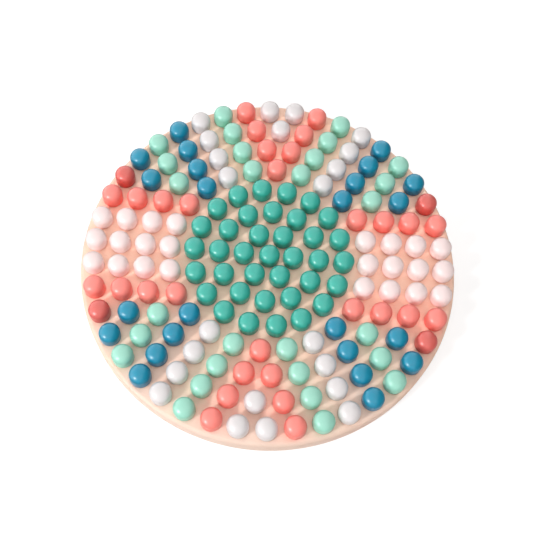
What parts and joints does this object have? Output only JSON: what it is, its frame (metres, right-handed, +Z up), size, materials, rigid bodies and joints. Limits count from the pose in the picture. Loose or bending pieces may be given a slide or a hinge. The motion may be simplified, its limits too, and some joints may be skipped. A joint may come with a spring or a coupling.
{
  "type": "wooden peg mosaic game",
  "caption": "Round wooden board with blind holes in concentric rings, filled with dome-headed lacquered pegs that lift out to lay mosaic patterns.",
  "frame": {"origin": "middle of the board's flat underside", "axes": "+Z up out of the board along the pegs; +X to the right spoke of the pattern, with the left spoke along -X; +Y to the back of the pattern"},
  "size_m": [0.3014, 0.3014, 0.0325],
  "materials": {
    "beech_board": "fine-grained pale wood, lightly sanded and oiled",
    "green_lacquer": "satin lacquer on turned wood",
    "mint_lacquer": "satin lacquer on turned wood",
    "blue_lacquer": "satin lacquer on turned wood",
    "coral_lacquer": "satin lacquer on turned wood",
    "red_lacquer": "satin lacquer on turned wood",
    "white_lacquer": "satin lacquer on turned wood",
    "pink_lacquer": "satin lacquer on turned wood"
  },
  "bodies": {
    "board": {"board": "beech_board"},
    "blue_pair_back_left": {"blue_pair_back_left": "blue_lacquer"},
    "blue_pair_back_right": {"blue_pair_back_right": "blue_lacquer"},
    "blue_pair_front_left": {"blue_pair_front_left": "blue_lacquer"},
    "blue_pair_front_right": {"blue_pair_front_right": "blue_lacquer"},
    "blue_row_back_left": {"blue_row_back_left": "blue_lacquer"},
    "blue_row_back_right": {"blue_row_back_right": "blue_lacquer"},
    "blue_row_front_left": {"blue_row_front_left": "blue_lacquer"},
    "blue_row_front_right": {"blue_row_front_right": "blue_lacquer"},
    "coral_apex_back": {"coral_apex_back": "coral_lacquer"},
    "coral_apex_front": {"coral_apex_front": "coral_lacquer"},
    "coral_arm_back_left": {"coral_arm_back_left": "coral_lacquer"},
    "coral_arm_back_right": {"coral_arm_back_right": "coral_lacquer"},
    "coral_arm_front_left": {"coral_arm_front_left": "coral_lacquer"},
    "coral_arm_front_right": {"coral_arm_front_right": "coral_lacquer"},
    "coral_row_back_left": {"coral_row_back_left": "coral_lacquer"},
    "coral_row_back_right": {"coral_row_back_right": "coral_lacquer"},
    "coral_row_front_left": {"coral_row_front_left": "coral_lacquer"},
    "coral_row_front_right": {"coral_row_front_right": "coral_lacquer"},
    "dark_red_peg_back_left": {"dark_red_peg_back_left": "red_lacquer"},
    "dark_red_peg_back_right": {"dark_red_peg_back_right": "red_lacquer"},
    "dark_red_peg_front_left": {"dark_red_peg_front_left": "red_lacquer"},
    "dark_red_peg_front_right": {"dark_red_peg_front_right": "red_lacquer"},
    "green_inner_trio_1": {"green_inner_trio_1": "green_lacquer"},
    "green_inner_trio_2": {"green_inner_trio_2": "green_lacquer"},
    "green_inner_trio_3": {"green_inner_trio_3": "green_lacquer"},
    "green_inner_trio_4": {"green_inner_trio_4": "green_lacquer"},
    "green_inner_trio_5": {"green_inner_trio_5": "green_lacquer"},
    "green_inner_trio_6": {"green_inner_trio_6": "green_lacquer"},
    "green_outer_trio_1": {"green_outer_trio_1": "green_lacquer"},
    "green_outer_trio_2": {"green_outer_trio_2": "green_lacquer"},
    "green_outer_trio_3": {"green_outer_trio_3": "green_lacquer"},
    "green_outer_trio_4": {"green_outer_trio_4": "green_lacquer"},
    "green_outer_trio_5": {"green_outer_trio_5": "green_lacquer"},
    "green_outer_trio_6": {"green_outer_trio_6": "green_lacquer"},
    "green_peg_middle": {"green_peg_middle": "green_lacquer"},
    "mint_row_back_left": {"mint_row_back_left": "mint_lacquer"},
    "mint_row_back_right": {"mint_row_back_right": "mint_lacquer"},
    "mint_row_front_left": {"mint_row_front_left": "mint_lacquer"},
    "mint_row_front_right": {"mint_row_front_right": "mint_lacquer"},
    "mint_short_row_back_left": {"mint_short_row_back_left": "mint_lacquer"},
    "mint_short_row_back_right": {"mint_short_row_back_right": "mint_lacquer"},
    "mint_short_row_front_left": {"mint_short_row_front_left": "mint_lacquer"},
    "mint_short_row_front_right": {"mint_short_row_front_right": "mint_lacquer"},
    "pink_inner_pair_left": {"pink_inner_pair_left": "pink_lacquer"},
    "pink_inner_pair_right": {"pink_inner_pair_right": "pink_lacquer"},
    "pink_outer_pair_left": {"pink_outer_pair_left": "pink_lacquer"},
    "pink_outer_pair_right": {"pink_outer_pair_right": "pink_lacquer"},
    "pink_row_back_left": {"pink_row_back_left": "pink_lacquer"},
    "pink_row_back_right": {"pink_row_back_right": "pink_lacquer"},
    "pink_row_front_left": {"pink_row_front_left": "pink_lacquer"},
    "pink_row_front_right": {"pink_row_front_right": "pink_lacquer"},
    "white_apex_back": {"white_apex_back": "white_lacquer"},
    "white_apex_front": {"white_apex_front": "white_lacquer"},
    "white_pair_back": {"white_pair_back": "white_lacquer"},
    "white_pair_front": {"white_pair_front": "white_lacquer"},
    "white_row_back_left": {"white_row_back_left": "white_lacquer"},
    "white_row_back_right": {"white_row_back_right": "white_lacquer"},
    "white_row_front_left": {"white_row_front_left": "white_lacquer"},
    "white_row_front_right": {"white_row_front_right": "white_lacquer"}
  },
  "joints": [
    {"name": "lift_blue_pair_back_left", "type": "slide", "parent": "board", "child": "blue_pair_back_left", "axis": [0, 0, 1], "range_m": [0, 0.015]},
    {"name": "lift_blue_pair_back_right", "type": "slide", "parent": "board", "child": "blue_pair_back_right", "axis": [0, 0, 1], "range_m": [0, 0.015]},
    {"name": "lift_blue_pair_front_left", "type": "slide", "parent": "board", "child": "blue_pair_front_left", "axis": [0, 0, 1], "range_m": [0, 0.015]},
    {"name": "lift_blue_pair_front_right", "type": "slide", "parent": "board", "child": "blue_pair_front_right", "axis": [0, 0, 1], "range_m": [0, 0.015]},
    {"name": "lift_blue_row_back_left", "type": "slide", "parent": "board", "child": "blue_row_back_left", "axis": [0, 0, 1], "range_m": [0, 0.015]},
    {"name": "lift_blue_row_back_right", "type": "slide", "parent": "board", "child": "blue_row_back_right", "axis": [0, 0, 1], "range_m": [0, 0.015]},
    {"name": "lift_blue_row_front_left", "type": "slide", "parent": "board", "child": "blue_row_front_left", "axis": [0, 0, 1], "range_m": [0, 0.015]},
    {"name": "lift_blue_row_front_right", "type": "slide", "parent": "board", "child": "blue_row_front_right", "axis": [0, 0, 1], "range_m": [0, 0.015]},
    {"name": "lift_coral_apex_back", "type": "slide", "parent": "board", "child": "coral_apex_back", "axis": [0, 0, 1], "range_m": [0, 0.015]},
    {"name": "lift_coral_apex_front", "type": "slide", "parent": "board", "child": "coral_apex_front", "axis": [0, 0, 1], "range_m": [0, 0.015]},
    {"name": "lift_coral_arm_back_left", "type": "slide", "parent": "board", "child": "coral_arm_back_left", "axis": [0, 0, 1], "range_m": [0, 0.015]},
    {"name": "lift_coral_arm_back_right", "type": "slide", "parent": "board", "child": "coral_arm_back_right", "axis": [0, 0, 1], "range_m": [0, 0.015]},
    {"name": "lift_coral_arm_front_left", "type": "slide", "parent": "board", "child": "coral_arm_front_left", "axis": [0, 0, 1], "range_m": [0, 0.015]},
    {"name": "lift_coral_arm_front_right", "type": "slide", "parent": "board", "child": "coral_arm_front_right", "axis": [0, 0, 1], "range_m": [0, 0.015]},
    {"name": "lift_coral_row_back_left", "type": "slide", "parent": "board", "child": "coral_row_back_left", "axis": [0, 0, 1], "range_m": [0, 0.015]},
    {"name": "lift_coral_row_back_right", "type": "slide", "parent": "board", "child": "coral_row_back_right", "axis": [0, 0, 1], "range_m": [0, 0.015]},
    {"name": "lift_coral_row_front_left", "type": "slide", "parent": "board", "child": "coral_row_front_left", "axis": [0, 0, 1], "range_m": [0, 0.015]},
    {"name": "lift_coral_row_front_right", "type": "slide", "parent": "board", "child": "coral_row_front_right", "axis": [0, 0, 1], "range_m": [0, 0.015]},
    {"name": "lift_dark_red_peg_back_left", "type": "slide", "parent": "board", "child": "dark_red_peg_back_left", "axis": [0, 0, 1], "range_m": [0, 0.015]},
    {"name": "lift_dark_red_peg_back_right", "type": "slide", "parent": "board", "child": "dark_red_peg_back_right", "axis": [0, 0, 1], "range_m": [0, 0.015]},
    {"name": "lift_dark_red_peg_front_left", "type": "slide", "parent": "board", "child": "dark_red_peg_front_left", "axis": [0, 0, 1], "range_m": [0, 0.015]},
    {"name": "lift_dark_red_peg_front_right", "type": "slide", "parent": "board", "child": "dark_red_peg_front_right", "axis": [0, 0, 1], "range_m": [0, 0.015]},
    {"name": "lift_green_inner_trio_1", "type": "slide", "parent": "board", "child": "green_inner_trio_1", "axis": [0, 0, 1], "range_m": [0, 0.015]},
    {"name": "lift_green_inner_trio_2", "type": "slide", "parent": "board", "child": "green_inner_trio_2", "axis": [0, 0, 1], "range_m": [0, 0.015]},
    {"name": "lift_green_inner_trio_3", "type": "slide", "parent": "board", "child": "green_inner_trio_3", "axis": [0, 0, 1], "range_m": [0, 0.015]},
    {"name": "lift_green_inner_trio_4", "type": "slide", "parent": "board", "child": "green_inner_trio_4", "axis": [0, 0, 1], "range_m": [0, 0.015]},
    {"name": "lift_green_inner_trio_5", "type": "slide", "parent": "board", "child": "green_inner_trio_5", "axis": [0, 0, 1], "range_m": [0, 0.015]},
    {"name": "lift_green_inner_trio_6", "type": "slide", "parent": "board", "child": "green_inner_trio_6", "axis": [0, 0, 1], "range_m": [0, 0.015]},
    {"name": "lift_green_outer_trio_1", "type": "slide", "parent": "board", "child": "green_outer_trio_1", "axis": [0, 0, 1], "range_m": [0, 0.015]},
    {"name": "lift_green_outer_trio_2", "type": "slide", "parent": "board", "child": "green_outer_trio_2", "axis": [0, 0, 1], "range_m": [0, 0.015]},
    {"name": "lift_green_outer_trio_3", "type": "slide", "parent": "board", "child": "green_outer_trio_3", "axis": [0, 0, 1], "range_m": [0, 0.015]},
    {"name": "lift_green_outer_trio_4", "type": "slide", "parent": "board", "child": "green_outer_trio_4", "axis": [0, 0, 1], "range_m": [0, 0.015]},
    {"name": "lift_green_outer_trio_5", "type": "slide", "parent": "board", "child": "green_outer_trio_5", "axis": [0, 0, 1], "range_m": [0, 0.015]},
    {"name": "lift_green_outer_trio_6", "type": "slide", "parent": "board", "child": "green_outer_trio_6", "axis": [0, 0, 1], "range_m": [0, 0.015]},
    {"name": "lift_green_peg_middle", "type": "slide", "parent": "board", "child": "green_peg_middle", "axis": [0, 0, 1], "range_m": [0, 0.015]},
    {"name": "lift_mint_row_back_left", "type": "slide", "parent": "board", "child": "mint_row_back_left", "axis": [0, 0, 1], "range_m": [0, 0.015]},
    {"name": "lift_mint_row_back_right", "type": "slide", "parent": "board", "child": "mint_row_back_right", "axis": [0, 0, 1], "range_m": [0, 0.015]},
    {"name": "lift_mint_row_front_left", "type": "slide", "parent": "board", "child": "mint_row_front_left", "axis": [0, 0, 1], "range_m": [0, 0.015]},
    {"name": "lift_mint_row_front_right", "type": "slide", "parent": "board", "child": "mint_row_front_right", "axis": [0, 0, 1], "range_m": [0, 0.015]},
    {"name": "lift_mint_short_row_back_left", "type": "slide", "parent": "board", "child": "mint_short_row_back_left", "axis": [0, 0, 1], "range_m": [0, 0.015]},
    {"name": "lift_mint_short_row_back_right", "type": "slide", "parent": "board", "child": "mint_short_row_back_right", "axis": [0, 0, 1], "range_m": [0, 0.015]},
    {"name": "lift_mint_short_row_front_left", "type": "slide", "parent": "board", "child": "mint_short_row_front_left", "axis": [0, 0, 1], "range_m": [0, 0.015]},
    {"name": "lift_mint_short_row_front_right", "type": "slide", "parent": "board", "child": "mint_short_row_front_right", "axis": [0, 0, 1], "range_m": [0, 0.015]},
    {"name": "lift_pink_inner_pair_left", "type": "slide", "parent": "board", "child": "pink_inner_pair_left", "axis": [0, 0, 1], "range_m": [0, 0.015]},
    {"name": "lift_pink_inner_pair_right", "type": "slide", "parent": "board", "child": "pink_inner_pair_right", "axis": [0, 0, 1], "range_m": [0, 0.015]},
    {"name": "lift_pink_outer_pair_left", "type": "slide", "parent": "board", "child": "pink_outer_pair_left", "axis": [0, 0, 1], "range_m": [0, 0.015]},
    {"name": "lift_pink_outer_pair_right", "type": "slide", "parent": "board", "child": "pink_outer_pair_right", "axis": [0, 0, 1], "range_m": [0, 0.015]},
    {"name": "lift_pink_row_back_left", "type": "slide", "parent": "board", "child": "pink_row_back_left", "axis": [0, 0, 1], "range_m": [0, 0.015]},
    {"name": "lift_pink_row_back_right", "type": "slide", "parent": "board", "child": "pink_row_back_right", "axis": [0, 0, 1], "range_m": [0, 0.015]},
    {"name": "lift_pink_row_front_left", "type": "slide", "parent": "board", "child": "pink_row_front_left", "axis": [0, 0, 1], "range_m": [0, 0.015]},
    {"name": "lift_pink_row_front_right", "type": "slide", "parent": "board", "child": "pink_row_front_right", "axis": [0, 0, 1], "range_m": [0, 0.015]},
    {"name": "lift_white_apex_back", "type": "slide", "parent": "board", "child": "white_apex_back", "axis": [0, 0, 1], "range_m": [0, 0.015]},
    {"name": "lift_white_apex_front", "type": "slide", "parent": "board", "child": "white_apex_front", "axis": [0, 0, 1], "range_m": [0, 0.015]},
    {"name": "lift_white_pair_back", "type": "slide", "parent": "board", "child": "white_pair_back", "axis": [0, 0, 1], "range_m": [0, 0.015]},
    {"name": "lift_white_pair_front", "type": "slide", "parent": "board", "child": "white_pair_front", "axis": [0, 0, 1], "range_m": [0, 0.015]},
    {"name": "lift_white_row_back_left", "type": "slide", "parent": "board", "child": "white_row_back_left", "axis": [0, 0, 1], "range_m": [0, 0.015]},
    {"name": "lift_white_row_back_right", "type": "slide", "parent": "board", "child": "white_row_back_right", "axis": [0, 0, 1], "range_m": [0, 0.015]},
    {"name": "lift_white_row_front_left", "type": "slide", "parent": "board", "child": "white_row_front_left", "axis": [0, 0, 1], "range_m": [0, 0.015]},
    {"name": "lift_white_row_front_right", "type": "slide", "parent": "board", "child": "white_row_front_right", "axis": [0, 0, 1], "range_m": [0, 0.015]}
  ]
}
